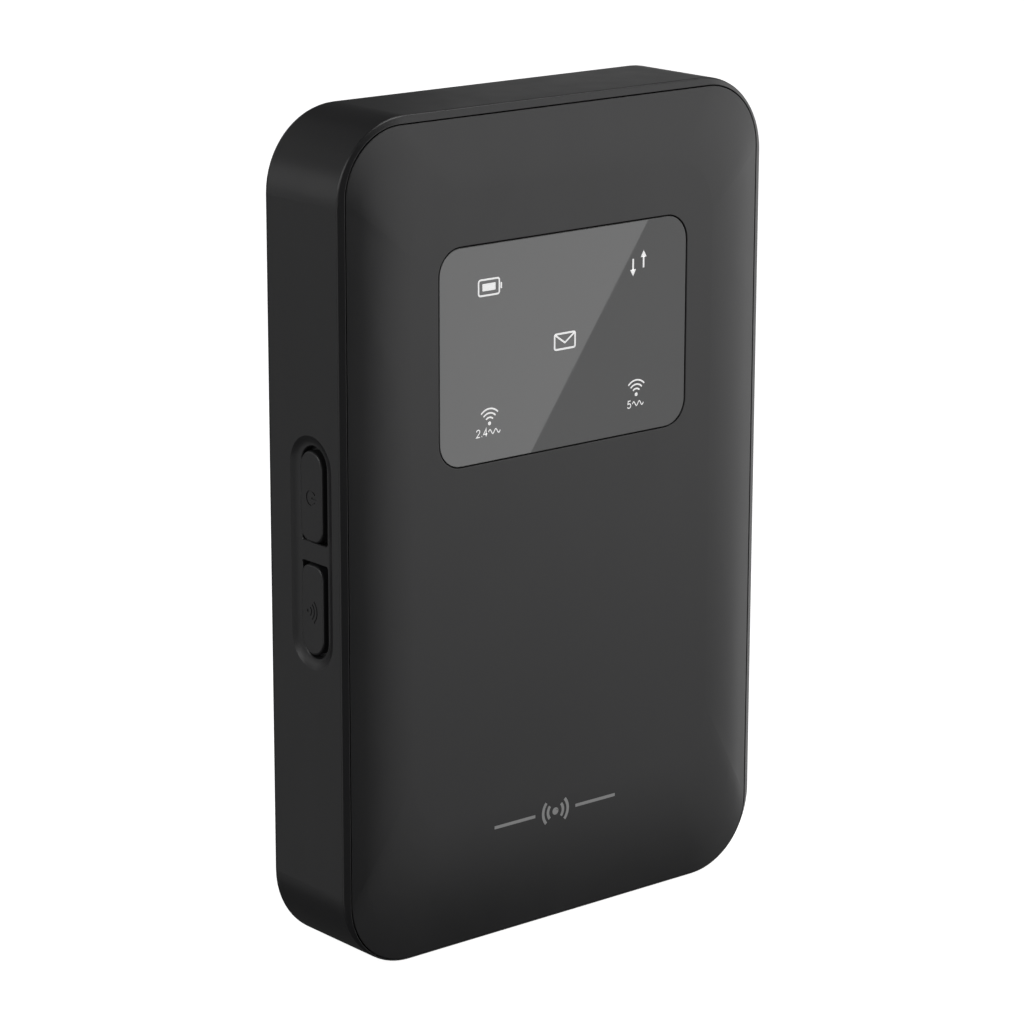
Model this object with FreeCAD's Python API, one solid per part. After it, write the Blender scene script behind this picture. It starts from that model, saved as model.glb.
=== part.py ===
"""Mobile hotspot: a pocket-size battery-powered wireless router that stands on its end.

Millimetres. +Z is up along the long side, the indicator window faces -Y and the two
push buttons are in the -X wall. The origin is the middle of the foot, under the box's centre.
"""

import FreeCAD, Part

import math
import os

V = FreeCAD.Vector

# ---- overall size -------------------------------------------------------------------------
WIDTH = 68.0
HEIGHT = 106.0
DEPTH = 16.2
CORNER_R = 10.2
FRONT_Y = -DEPTH / 2
BACK_Y = DEPTH / 2
BACK_EDGE_R = 1.0

# ---- crowned front: rim strip, seam and crown ---------------------------------------------
CROWN = 1.25          # how far the flat face stands forward of the seam
CROWN_SIDE = 8.5      # width of the curved border at the sides and the top
CROWN_FOOT = 16.2     # width of the curved border at the foot
FLAT_R = 7.0          # corner radius of the flat part of the face
CROWN_STEPS = 5
RIM_STRIP = 1.0       # sloped rim outside the seam, measured across the face
RIM_FOOT = 0.3        # the same along the foot
RIM_RISE = 0.45       # how far the strip climbs from the side wall to the seam
SEAM_R = 8.4
SEAM_FOOT_R = 8.8
SEAM_GAP = 0.12
SEAM_EDGE_R = 0.08    # rounding of the two edges that face each other across the seam
WALL_EDGE_R = 0.3     # rounding between the side wall and the sloped strip
SEAM_Y = FRONT_Y + CROWN
WALL_FRONT_Y = SEAM_Y + RIM_RISE

# ---- walls and plates ---------------------------------------------------------------------
WALL = 1.4
REBATE_Y = -5.3       # step in the wall that the front cover rests on
COVER_INNER_Y = -6.3  # inner face of the front cover
COVER_EDGE = 1.3      # thickness of the front cover's edge
PLATE_FRONT_Y = 5.9   # back plate, behind the rear cover
PLATE_BACK_Y = 6.8
REAR_RIM = 1.35       # rim round the rear cover, seen from behind
REAR_GAP = 0.15
REAR_EDGE_R = 0.18    # rounding of the rim's and the rear cover's edges, seen from behind
REAR_INNER_Y = 6.95

# ---- indicator window ---------------------------------------------------------------------
WINDOW_W = 39.9
WINDOW_H = 27.05
WINDOW_Z = 75.92
WINDOW_R = 3.3
WINDOW_GAP = 0.12
WINDOW_EDGE_R = 0.1
WINDOW_FRONT_Y = FRONT_Y + 0.05
WINDOW_BACK_Y = -7.08
LEDGE_Y = -7.0
LEDGE = 1.25
ICON_SPOTS = [(-12.05, 84.1), (11.06, 83.6), (12.8, 84.5), (-0.1, 75.85), (-12.1, 67.7), (11.8, 67.8)]

# ---- main board ---------------------------------------------------------------------------
BOARD_FRONT_Y = -2.7
BOARD_BACK_Y = -1.9
BOARD_HALF_W = 31.9
BOARD_LOW_Z = 3.0
BOARD_HIGH_Z = 101.0
BOARD_R = 8.0
BUTTON_NOTCH_HALF_Z = 16.0
SHIELD_HEIGHT = 2.2
MODEM_SHIELD = (-26.0, 4.0, 18.0, 52.0)   # x0, x1, z0, z1
WIFI_SHIELD = (8.0, 27.0, 18.0, 44.0)

# ---- SIM card bracket on the back of the board --------------------------------------------
SIM_X0 = -21.6
SIM_X1 = -6.9
SIM_LOW_Z = 26.6
SIM_HIGH_Z = 41.4

# ---- screws: x, z -------------------------------------------------------------------------
SCREW_X = 29.6
SCREW_SPOTS = [(-SCREW_X, 11.0), (SCREW_X, 11.0), (-SCREW_X, 95.0), (SCREW_X, 95.0),
               (SCREW_X, 53.0), (-SCREW_X, 75.0)]
PILLAR_R = 2.4
COUNTERBORE_R = 1.7
SCREW_HEAD_R = 1.45
SCREW_R = 0.78
SCREW_TIP_Y = -5.0
SCREW_HOLE_CLEARANCE = 0.12
COVER_BOSS_R = 2.1
BOSS_BORE_R = 0.8
PILLAR_FLOOR_Y = 0.9
PILLAR_END_Y = -0.1

# ---- push buttons in the -X wall ----------------------------------------------------------
BUTTON_Y = -0.8
BUTTON_PITCH_Z = 7.3              # from the middle of the height to each button's centre
BUTTON_MID_Z = HEIGHT / 2
TRAY_LENGTH = 29.3
TRAY_WIDTH = 8.2
TRAY_DEPTH = 0.5
TRAY_SLOPE = 1.3                  # width of the dished border, steep at the mouth and flat at the floor
TRAY_STEPS = 5
SLOT_LENGTH = 12.0
SLOT_WIDTH = 5.07
SLOT_CORNER_R = 0.35
SLOT_CHAMFER = 0.1
BUTTON_SIDE_GAP = 0.38
BUTTON_ROUND_END_GAP = 0.55
BUTTON_FLAT_END_GAP = 0.15
BUTTON_CORNER_R = 1.6
BUTTON_TRAVEL = 0.3
BUTTON_TOP_X = -WIDTH / 2 + 0.03
BUTTON_EDGE_R = 0.25
FLANGE_X = -32.5
FLANGE_THICK = 0.8
FLANGE_LIP = 0.45
FLANGE_CORNER_R = 0.8
NUB_END_X = -30.6
NUB_HALF_Y = 0.7
NUB_HALF_Z = 1.1

# ---- symbols sunk into the button tops; their upper side points to the front ----------------
SYMBOL_DEPTH = 0.09
SYMBOL_STROKE = 0.2
POWER_RING_R = 0.88
POWER_GAP_HALF = 0.42
POWER_DROP = 0.35     # how far the symbol sits below the button's middle
POWER_BAR_END = 1.15
WAVE_RADII = [0.7, 1.25, 1.8]
WAVE_DOT_R = 0.2
WAVE_ROOT_Y = 0.85
WAVE_HALF_ANGLE = 48.0

# ---- side switches on the board -----------------------------------------------------------
SWITCH_FRONT_X = -29.9
SWITCH_LENGTH = 3.0
SWITCH_HALF_Z = 1.9
SWITCH_TOP_Y = -0.1
PLUNGER_HALF_Z = 0.8
PLUNGER_HALF_Y = 0.4
PLUNGER_INSERT = 0.6
PLUNGER_CLEARANCE = 0.05

# ---- reset button, reached by a pin when the rear cover is off ----------------------------
RESET_X = 16.0
RESET_Z = 17.0
RESET_HOLE_R = 0.7
RESET_R = 0.7
RESET_BODY = 3.0
RESET_TOP_Y = -0.5
RESET_TIP_Y = 0.1

# ---- battery bay and battery --------------------------------------------------------------
BAY_HALF_W = 26.0
BAY_LOW_Z = 22.0
BAY_HIGH_Z = 92.0
BAY_FLOOR_Y = 1.0
BAY_FLOOR = 0.9
BAY_WALL = 1.0
BAY_R = 0.8
BATTERY_GAP = 0.4
BATTERY_LOW_Z = 22.9
BATTERY_CAP_Z = 26.6
BATTERY_HIGH_Z = 91.6
BATTERY_FRONT_Y = 1.2
BATTERY_BACK_Y = 6.6
BATTERY_R = 1.6
LABEL = 0.12
TERMINAL_SPOTS = [-3.75, -1.25, 1.25, 3.75]
TERMINAL_Y = 3.1
TERMINAL_HALF_W = 0.9
TERMINAL_HALF_Y = 1.5
TERMINAL_DEPTH = 0.45
CONNECTOR_LOW_Z = 14.5
CONNECTOR_HIGH_Z = 20.6

# ---- USB receptacle in the foot -----------------------------------------------------------
USB_Y = -0.3
USB_W = 8.94
USB_H = 3.2
USB_WALL = 0.25
USB_MOUTH_Z = 0.0
USB_BACK_Z = 8.2
USB_BACK_WALL = 0.4
USB_ROOT = 1.8
USB_SLOT_CLEARANCE = 0.25
TONGUE_W = 6.7
TONGUE_H = 0.7
TONGUE_MOUTH_Z = 1.5

# ---- rear cover latches and the fingernail notch --------------------------------------------
LATCH_SIDE_X = 31.1
LATCH_SIDE_Z = [26.0, 64.0, 84.0]
LATCH_END_X = [-14.0, 14.0]
LATCH_END_Z = [3.0, 103.0]
LATCH_LENGTH = 6.0
LATCH_THICK = 0.8
LATCH_END_Y = 5.2
LATCH_NOSE = 0.25
LATCH_SLOT_GAP = 0.35
NOTCH_X = 18.0
NOTCH_R = 12.0
NOTCH_DEPTH = 0.9


# ---- shape helpers ------------------------------------------------------------------------
def block(x0, x1, y0, y1, z0, z1):
    return Part.makeBox(x1 - x0, y1 - y0, z1 - z0, V(x0, y0, z0))


def rod_y(x, z, radius, y0, y1):
    return Part.makeCylinder(radius, y1 - y0, V(x, y0, z), V(0, 1, 0))


def rounded_wire(x0, x1, z0, z1, low_r, high_r, y):
    """Rounded rectangle in a plane of constant y, with its own corner radii below and above."""
    edges = []
    corners = [(x1, z1, -1, -1, high_r, 0), (x0, z1, 1, -1, high_r, 90),
               (x0, z0, 1, 1, low_r, 180), (x1, z0, -1, 1, low_r, 270)]
    ends = []
    for x, z, inward_x, inward_z, radius, start in corners:
        centre_x = x + inward_x * radius
        centre_z = z + inward_z * radius
        points = []
        for turn in (0, 45, 90):
            angle = math.radians(start + turn)
            points.append(V(centre_x + radius * math.cos(angle), y, centre_z + radius * math.sin(angle)))
        edges.append(Part.Arc(*points).toShape())
        ends.append((points[0], points[2]))
    outline = []
    for index in range(4):
        outline.append(edges[index])
        outline.append(Part.LineSegment(ends[index][1], ends[(index + 1) % 4][0]).toShape())
    return Part.Wire(outline)


def slab(x0, x1, z0, z1, radius, y0, y1):
    wire = rounded_wire(x0, x1, z0, z1, radius, radius, y0)
    return Part.Face(wire).extrude(V(0, y1 - y0, 0))


def outline_slab(inset, radius, y0, y1):
    """The object's front outline, moved inwards by inset and extruded from y0 to y1."""
    return slab(-WIDTH / 2 + inset, WIDTH / 2 - inset, inset, HEIGHT - inset, radius, y0, y1)


def seam_wire(shrink, y):
    """The outline of the seam round the front cover, moved inwards by shrink."""
    inset = RIM_STRIP + shrink
    return rounded_wire(-WIDTH / 2 + inset, WIDTH / 2 - inset, RIM_FOOT + shrink, HEIGHT - inset,
                        SEAM_FOOT_R - shrink, SEAM_R - shrink, y)


def seam_slab(shrink, y0, y1):
    return Part.Face(seam_wire(shrink, y0)).extrude(V(0, y1 - y0, 0))


def window_slab(grow, y0, y1):
    half_w = WINDOW_W / 2 + grow
    half_h = WINDOW_H / 2 + grow
    return slab(-half_w, half_w, WINDOW_Z - half_h, WINDOW_Z + half_h, WINDOW_R + grow, y0, y1)


def joined(shapes):
    return shapes[0].multiFuse(shapes[1:]).removeSplitter()


def saved(shape, name):
    if not shape.isValid():
        raise ValueError(name + " is not a valid shape")
    shape.exportStep(os.path.join("parts", name + ".step"))
    print(name, len(shape.Solids), "solid", round(shape.Volume, 1), "mm3")


def group(shapes):
    return Part.makeCompound(shapes)


# ---- casing -------------------------------------------------------------------------------
def crown_section(step):
    """One ring of the crowned face: step 0 is the seam and step 1 is the edge of the flat part."""
    y = FRONT_Y + CROWN * (1 - step) ** 2
    inset = RIM_STRIP + SEAM_GAP + CROWN_SIDE * step
    foot = RIM_FOOT + SEAM_GAP + CROWN_FOOT * step
    low_r, high_r = [(seam_r - SEAM_GAP) * (1 - step) + FLAT_R * step for seam_r in (SEAM_FOOT_R, SEAM_R)]
    return rounded_wire(-WIDTH / 2 + inset, WIDTH / 2 - inset, foot, HEIGHT - inset, low_r, high_r, y)


def front_cover():
    rings = [crown_section(index / CROWN_STEPS) for index in range(CROWN_STEPS + 1)]
    crown = Part.makeLoft(rings, True, False)
    skirt = seam_slab(SEAM_GAP, SEAM_Y, REBATE_Y)
    shell = crown.fuse(skirt)
    shell = shell.makeFillet(SEAM_EDGE_R, edges_at_y(shell, SEAM_Y))
    shell = shell.cut(seam_slab(SEAM_GAP + COVER_EDGE, COVER_INNER_Y, REBATE_Y))
    boss_end = PILLAR_END_Y - 0.05
    bosses = [rod_y(x, z, COVER_BOSS_R, COVER_INNER_Y - 0.2, boss_end) for x, z in SCREW_SPOTS]
    shell = joined([shell] + bosses)
    bores = [rod_y(x, z, BOSS_BORE_R, COVER_INNER_Y + 0.4, PILLAR_END_Y) for x, z in SCREW_SPOTS]
    shell = shell.cut(bores)
    shell = shell.cut(window_slab(WINDOW_GAP, FRONT_Y - 1, LEDGE_Y))
    rim = [edge for edge in edges_at_y(shell, FRONT_Y) if in_window_pocket(edge)]
    shell = shell.makeFillet(WINDOW_EDGE_R, rim)
    return shell.cut(window_slab(-LEDGE, LEDGE_Y - 0.5, COVER_INNER_Y + 1))


def in_window_pocket(edge):
    half_w = WINDOW_W / 2 + WINDOW_GAP + 0.01
    half_h = WINDOW_H / 2 + WINDOW_GAP + 0.01
    return all(abs(vertex.Point.x) <= half_w and abs(vertex.Point.z - WINDOW_Z) <= half_h
               for vertex in edge.Vertexes)


def stadium_wire(length, width, x, z_middle, y_middle):
    """Slot outline with round ends in a plane of constant x, its long side along Z."""
    radius = width / 2
    straight = length / 2 - radius
    low = z_middle - straight
    high = z_middle + straight
    y0 = y_middle - radius
    y1 = y_middle + radius
    top = Part.Arc(V(x, y0, high), V(x, y_middle, high + radius), V(x, y1, high))
    foot = Part.Arc(V(x, y1, low), V(x, y_middle, low - radius), V(x, y0, low))
    right = Part.LineSegment(V(x, y1, high), V(x, y1, low))
    left = Part.LineSegment(V(x, y0, low), V(x, y0, high))
    return Part.Wire([top.toShape(), right.toShape(), foot.toShape(), left.toShape()])


def button_wire(gaps, corner, x, side):
    """D outline of a push button: round at the end away from the other button (side is +1 or -1).

    It is smaller than its slot by the three gaps: at the long sides, the round end and the flat end.
    """
    side_gap, round_gap, flat_gap = gaps
    half_w = SLOT_WIDTH / 2 - side_gap
    outer = BUTTON_MID_Z + side * (BUTTON_PITCH_Z + SLOT_LENGTH / 2 - round_gap)
    inner = BUTTON_MID_Z + side * (BUTTON_PITCH_Z - SLOT_LENGTH / 2 + flat_gap)
    shoulder = outer - side * half_w
    near = inner + side * corner
    lean = corner * (1 - math.sqrt(0.5))
    y0 = BUTTON_Y - half_w
    y1 = BUTTON_Y + half_w
    edges = [Part.Arc(V(x, y0, shoulder), V(x, BUTTON_Y, outer), V(x, y1, shoulder)),
             Part.LineSegment(V(x, y1, shoulder), V(x, y1, near)),
             Part.Arc(V(x, y1, near), V(x, y1 - lean, inner + side * lean), V(x, y1 - corner, inner)),
             Part.LineSegment(V(x, y1 - corner, inner), V(x, y0 + corner, inner)),
             Part.Arc(V(x, y0 + corner, inner), V(x, y0 + lean, inner + side * lean), V(x, y0, near)),
             Part.LineSegment(V(x, y0, near), V(x, y0, shoulder))]
    return Part.Wire([edge.toShape() for edge in edges])


def button_prism(gaps, corner, x0, x1, side):
    return Part.Face(button_wire(gaps, corner, x0, side)).extrude(V(x1 - x0, 0, 0))


def tray():
    """Shallow dish in the -X wall, round the two buttons."""
    rings = []
    for index in range(TRAY_STEPS):
        part = index / (TRAY_STEPS - 1)
        inset = 2 * TRAY_SLOPE * part
        depth = TRAY_DEPTH * math.sin(part * math.pi / 2)
        rings.append(stadium_wire(TRAY_LENGTH - inset, TRAY_WIDTH - inset, -WIDTH / 2 + depth,
                                  BUTTON_MID_Z, BUTTON_Y))
    return Part.makeLoft(rings, True, False)


def slot_chamfer(side):
    """Widens a button slot where it meets the tray's floor."""
    floor_x = -WIDTH / 2 + TRAY_DEPTH
    wide = button_wire([-2 * SLOT_CHAMFER] * 3, SLOT_CORNER_R + 2 * SLOT_CHAMFER,
                       floor_x - SLOT_CHAMFER, side)
    narrow = button_wire([0, 0, 0], SLOT_CORNER_R, floor_x + SLOT_CHAMFER, side)
    return Part.makeLoft([wide, narrow], True, True)


def usb_slot():
    half_w = USB_W / 2 + USB_SLOT_CLEARANCE
    half_h = USB_H / 2 + USB_SLOT_CLEARANCE
    slot = block(-half_w, half_w, USB_Y - half_h, USB_Y + half_h, -1, WALL + 1)
    return slot.makeFillet(half_h - 0.01, upright_edges(slot))


def upright_edges(shape):
    found = []
    for edge in shape.Edges:
        a, b = edge.Vertexes[0].Point, edge.Vertexes[-1].Point
        if abs(a.x - b.x) < 1e-6 and abs(a.y - b.y) < 1e-6:
            found.append(edge)
    return found


def edges_at_y(shape, y):
    """The edges that lie in the plane of that y."""
    return [edge for edge in shape.Edges if all(abs(vertex.Point.y - y) < 1e-6 for vertex in edge.Vertexes)]


def latch_spots():
    """Middle x, middle z and outward direction of each tab."""
    spots = []
    for z in LATCH_SIDE_Z:
        spots.append((-LATCH_SIDE_X, z, (-1, 0)))
        spots.append((LATCH_SIDE_X, z, (1, 0)))
    for x in LATCH_END_X:
        spots.append((x, LATCH_END_Z[0], (0, -1)))
        spots.append((x, LATCH_END_Z[1], (0, 1)))
    return spots


def latch_box(x, z, outward, grow, y0, y1):
    along = LATCH_LENGTH / 2 + grow
    across = LATCH_THICK / 2 + grow
    half_x = across if outward[0] else along
    half_z = along if outward[0] else across
    return block(x - half_x, x + half_x, y0, y1, z - half_z, z + half_z)


def housing():
    outer = outline_slab(0, CORNER_R, WALL_FRONT_Y, BACK_Y)
    outer = outer.makeFillet(BACK_EDGE_R, edges_at_y(outer, BACK_Y))
    wall_wire = rounded_wire(-WIDTH / 2, WIDTH / 2, 0, HEIGHT, CORNER_R, CORNER_R, WALL_FRONT_Y)
    strip = Part.makeLoft([wall_wire, seam_wire(0, SEAM_Y)], True, True)
    body = outer.fuse(strip)
    body = body.makeFillet(WALL_EDGE_R, edges_at_y(body, WALL_FRONT_Y))
    body = body.cut([seam_slab(0, SEAM_Y - 1, REBATE_Y),
                     outline_slab(WALL, CORNER_R - WALL, REBATE_Y - 0.1, PLATE_FRONT_Y),
                     outline_slab(REAR_RIM, CORNER_R - REAR_RIM, PLATE_BACK_Y, BACK_Y + 1)])
    body = body.makeFillet(SEAM_EDGE_R, edges_at_y(body, SEAM_Y))
    rear_edges = [edge for edge in edges_at_y(body, BACK_Y) if inside_rear_rim(edge)]
    body = body.makeFillet(REAR_EDGE_R, rear_edges)
    bay_half_w = BAY_HALF_W + BAY_WALL
    bay_out = slab(-bay_half_w, bay_half_w, BAY_LOW_Z - BAY_WALL, BAY_HIGH_Z + BAY_WALL,
                   BAY_R + BAY_WALL, BAY_FLOOR_Y - BAY_FLOOR, PLATE_BACK_Y)
    pillars = [rod_y(x, z, PILLAR_R, PILLAR_END_Y, PLATE_BACK_Y) for x, z in SCREW_SPOTS]
    body = joined([body, bay_out] + pillars)
    bay_in = slab(-BAY_HALF_W, BAY_HALF_W, BAY_LOW_Z, BAY_HIGH_Z, BAY_R, BAY_FLOOR_Y, BACK_Y + 1)
    cuts = [bay_in]
    for x, z in SCREW_SPOTS:
        cuts.append(rod_y(x, z, COUNTERBORE_R, PILLAR_FLOOR_Y, BACK_Y))
        cuts.append(rod_y(x, z, SCREW_R + SCREW_HOLE_CLEARANCE, PILLAR_END_Y - 1, BACK_Y))
    for x, z, outward in latch_spots():
        cuts.append(latch_box(x, z, outward, LATCH_SLOT_GAP, PLATE_FRONT_Y - 1, BACK_Y - 1))
    cuts.append(tray())
    for side in (1, -1):
        cuts.append(button_prism([0, 0, 0], SLOT_CORNER_R, -WIDTH / 2 - 1, -WIDTH / 2 + WALL + 1, side))
        cuts.append(slot_chamfer(side))
    cuts.append(usb_slot())
    cuts.append(rod_y(RESET_X, RESET_Z, RESET_HOLE_R, PLATE_FRONT_Y - 1, BACK_Y))
    cuts.append(sim_opening())
    cuts.append(contact_slot())
    cuts.append(nail_notch())
    return body.cut(cuts).removeSplitter()


def inside_rear_rim(edge):
    half_w = WIDTH / 2 - REAR_RIM + 0.01
    return all(abs(vertex.Point.x) <= half_w and REAR_RIM - 0.01 <= vertex.Point.z <= HEIGHT - REAR_RIM + 0.01
               for vertex in edge.Vertexes)


def sim_opening():
    """Window in the battery bay's floor over the card bracket."""
    gap = 0.4
    return slab(SIM_X0 - gap, SIM_X1 + gap, SIM_LOW_Z - gap, SIM_HIGH_Z + gap, 1.0,
                BAY_FLOOR_Y - BAY_FLOOR - 0.5, BAY_FLOOR_Y + 0.5)


def contact_slot():
    """Opening in the battery bay's lower wall for the contact springs."""
    half_w = TERMINAL_SPOTS[-1] + 1.65
    half_y = 1.7
    return block(-half_w, half_w, TERMINAL_Y - half_y, TERMINAL_Y + half_y,
                 BAY_LOW_Z - BAY_WALL - 0.5, BAY_LOW_Z + 0.5)


def nail_notch():
    """Scoop in the rim at the foot, where a fingernail lifts the rear cover."""
    centre_y = BACK_Y + NOTCH_R - NOTCH_DEPTH
    return Part.makeCylinder(NOTCH_R, REAR_RIM + 2, V(NOTCH_X, centre_y, -0.5), V(0, 0, 1))


def rear_cover():
    inset = REAR_RIM + REAR_GAP
    panel = outline_slab(inset, CORNER_R - inset, REAR_INNER_Y, BACK_Y)
    panel = panel.makeFillet(REAR_EDGE_R, edges_at_y(panel, BACK_Y))
    tabs = []
    for x, z, outward in latch_spots():
        tabs.append(latch_box(x, z, outward, 0, LATCH_END_Y, REAR_INNER_Y + 0.1))
        nose = latch_box(x + outward[0] * LATCH_NOSE, z + outward[1] * LATCH_NOSE, outward, -0.15,
                         LATCH_END_Y + 0.1, LATCH_END_Y + 0.5)
        tabs.append(nose)
    return joined([panel] + tabs)


def screw(x, z):
    """Cross-head screw, its head on the floor of the pillar's counterbore."""
    head_height = 0.8
    arm = 0.8
    half = 0.16
    recess_y0 = PILLAR_FLOOR_Y + head_height / 2
    recess_y1 = PILLAR_FLOOR_Y + head_height + 0.2
    shaft = rod_y(x, z, SCREW_R, SCREW_TIP_Y, PILLAR_FLOOR_Y + 0.1)
    head = rod_y(x, z, SCREW_HEAD_R, PILLAR_FLOOR_Y, PILLAR_FLOOR_Y + head_height)
    cross = [block(x - arm, x + arm, recess_y0, recess_y1, z - half, z + half),
             block(x - half, x + half, recess_y0, recess_y1, z - arm, z + arm)]
    return shaft.fuse(head).cut(cross).removeSplitter()


# ---- indicator stack ----------------------------------------------------------------------
def display_window():
    pane = window_slab(0, WINDOW_FRONT_Y, WINDOW_BACK_Y)
    return pane.makeFillet(WINDOW_EDGE_R, edges_at_y(pane, WINDOW_FRONT_Y))


def window_adhesive():
    frame = window_slab(-0.15, WINDOW_BACK_Y, LEDGE_Y)
    return frame.cut(window_slab(-LEDGE + 0.15, WINDOW_BACK_Y - 0.5, LEDGE_Y + 0.5))


def icon_film():
    thick = 0.08
    return window_slab(-LEDGE - 0.15, WINDOW_BACK_Y, WINDOW_BACK_Y + thick)


def light_baffle():
    """Block between film and board with one open chamber over each LED."""
    half_w = 0.8
    half_h = 1.3
    baffle = window_slab(-LEDGE - 0.2, WINDOW_BACK_Y + 0.12, BOARD_FRONT_Y - 0.05)
    chambers = [block(x - half_w, x + half_w, WINDOW_BACK_Y - 0.5, BOARD_FRONT_Y + 1, z - half_h, z + half_h)
                for x, z in ICON_SPOTS]
    return baffle.cut(chambers)


def status_leds():
    return group([chip(x, z, 0.8, 1.6, 0.6) for x, z in ICON_SPOTS])


# ---- electronics --------------------------------------------------------------------------
def main_board():
    board = slab(-BOARD_HALF_W, BOARD_HALF_W, BOARD_LOW_Z, BOARD_HIGH_Z, BOARD_R, BOARD_FRONT_Y, BOARD_BACK_Y)
    cuts = [rod_y(x, z, COVER_BOSS_R + 0.3, BOARD_FRONT_Y - 1, BOARD_BACK_Y + 1) for x, z in SCREW_SPOTS]
    cuts.append(block(-BOARD_HALF_W - 1, NUB_END_X + 0.4, BOARD_FRONT_Y - 1, BOARD_BACK_Y + 1,
                      BUTTON_MID_Z - BUTTON_NOTCH_HALF_Z, BUTTON_MID_Z + BUTTON_NOTCH_HALF_Z))
    return board.cut(cuts)


def shield_can(x0, x1, z0, z1):
    """Sheet-metal can, open towards the board."""
    sheet = 0.2
    bend_r = 0.4
    top_y = BOARD_FRONT_Y - SHIELD_HEIGHT
    can = block(x0, x1, top_y, BOARD_FRONT_Y, z0, z1)
    can = can.makeFillet(bend_r, [edge for edge in can.Edges if edge.CenterOfMass.y < BOARD_FRONT_Y - 0.1])
    hollow = block(x0 + sheet, x1 - sheet, top_y + sheet, BOARD_FRONT_Y + 1, z0 + sheet, z1 - sheet)
    return can.cut(hollow)


def chip(x, z, width, length, thick):
    """Flat component on the front of the board, centred on x and z."""
    half_w = width / 2
    half_l = length / 2
    return block(x - half_w, x + half_w, BOARD_FRONT_Y - thick, BOARD_FRONT_Y, z - half_l, z + half_l)


def rear_chip(x, z, width, length, thick):
    """Flat component on the back of the board, centred on x and z."""
    half_w = width / 2
    half_l = length / 2
    return block(x - half_w, x + half_w, BOARD_BACK_Y, BOARD_BACK_Y + thick, z - half_l, z + half_l)


def thermal_pad():
    """Soft pad between the modem's can and the front cover."""
    x0, x1, z0, z1 = MODEM_SHIELD
    inset = 2.0
    return slab(x0 + inset, x1 - inset, z0 + inset, z1 - inset, 1.0,
                COVER_INNER_Y + 0.05, BOARD_FRONT_Y - SHIELD_HEIGHT - 0.05)


def small_parts():
    """Chip capacitors, coils and resistors in rows on both faces of the board."""
    capacitors = [chip(-20.0 + index * 4.6, 12.8, 1.0, 1.6, 0.5) for index in range(9)]
    resistors = [chip(-18.0 + index * 4.6, 55.6, 0.6, 1.2, 0.35) for index in range(8)]
    coils = [rear_chip(19.25, 53.25 + index * 6.0, 2.5, 2.5, 1.2) for index in range(5)]
    rear_capacitors = [rear_chip(-13.5, 48.9 + index * 5.0, 1.0, 1.8, 0.5) for index in range(7)]
    return group(capacitors + resistors + coils + rear_capacitors)


def usb_body(shrink, z0, z1):
    half_w = USB_W / 2 - shrink
    half_h = USB_H / 2 - shrink
    shell = block(-half_w, half_w, USB_Y - half_h, USB_Y + half_h, z0, z1)
    return shell.makeFillet(half_h - 0.01, upright_edges(shell))


def usb_shell():
    """Stamped shell with a closed back."""
    outside = usb_body(0, USB_MOUTH_Z, USB_BACK_Z)
    return outside.cut(usb_body(USB_WALL, USB_MOUTH_Z - 1, USB_BACK_Z - USB_BACK_WALL))


def usb_tongue():
    """Contact blade on a root that fills the back of the shell."""
    gap = 0.02
    root_z = USB_BACK_Z - USB_ROOT
    blade = block(-TONGUE_W / 2, TONGUE_W / 2, USB_Y - TONGUE_H / 2, USB_Y + TONGUE_H / 2,
                  TONGUE_MOUTH_Z, root_z + 0.2)
    root = usb_body(USB_WALL + gap, root_z, USB_BACK_Z - USB_BACK_WALL - gap)
    return blade.fuse(root).removeSplitter()


def sim_holder():
    """Sheet-metal card bracket on the back of the board, open at its upper end."""
    sheet = 0.2
    side = 0.6
    top_y = BOARD_BACK_Y + 1.5
    bracket = block(SIM_X0, SIM_X1, BOARD_BACK_Y, top_y, SIM_LOW_Z, SIM_HIGH_Z)
    slot = block(SIM_X0 + side, SIM_X1 - side, BOARD_BACK_Y + sheet, top_y - sheet,
                 SIM_LOW_Z + side, SIM_HIGH_Z + 1)
    middle_x = (SIM_X0 + SIM_X1) / 2
    thumb_half_w = 3.25
    thumb_hole = slab(middle_x - thumb_half_w, middle_x + thumb_half_w,
                      SIM_HIGH_Z - 7.4, SIM_HIGH_Z + 2.6, 2.0, top_y - sheet - 0.3, top_y + 0.5)
    return bracket.cut([slot, thumb_hole])


def battery_connector():
    half_w = 6.0
    return block(-half_w, half_w, BOARD_BACK_Y, TERMINAL_Y + 1.6, CONNECTOR_LOW_Z, CONNECTOR_HIGH_Z)


def battery_contacts():
    """Four leaf springs that stand through the bay wall towards the battery's terminals."""
    tip_z = BATTERY_LOW_Z - 0.08
    half_w = 0.4
    reach = 1.3
    springs = []
    for x in TERMINAL_SPOTS:
        low = V(x - half_w, TERMINAL_Y - reach, CONNECTOR_HIGH_Z)
        tip = V(x - half_w, TERMINAL_Y, tip_z)
        high = V(x - half_w, TERMINAL_Y + reach, CONNECTOR_HIGH_Z)
        bow = Part.Arc(low, tip, high).toShape()
        base = Part.LineSegment(high, low).toShape()
        springs.append(Part.Face(Part.Wire([bow, base])).extrude(V(2 * half_w, 0, 0)))
    return group(springs)


def side_switch(z):
    body = block(SWITCH_FRONT_X, SWITCH_FRONT_X + SWITCH_LENGTH, BOARD_BACK_Y, SWITCH_TOP_Y,
                 z - SWITCH_HALF_Z, z + SWITCH_HALF_Z)
    half_y = PLUNGER_HALF_Y + PLUNGER_CLEARANCE
    half_z = PLUNGER_HALF_Z + PLUNGER_CLEARANCE
    pocket = block(SWITCH_FRONT_X - 1, SWITCH_FRONT_X + PLUNGER_INSERT + BUTTON_TRAVEL + 0.2,
                   BUTTON_Y - half_y, BUTTON_Y + half_y, z - half_z, z + half_z)
    return body.cut(pocket)


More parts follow.
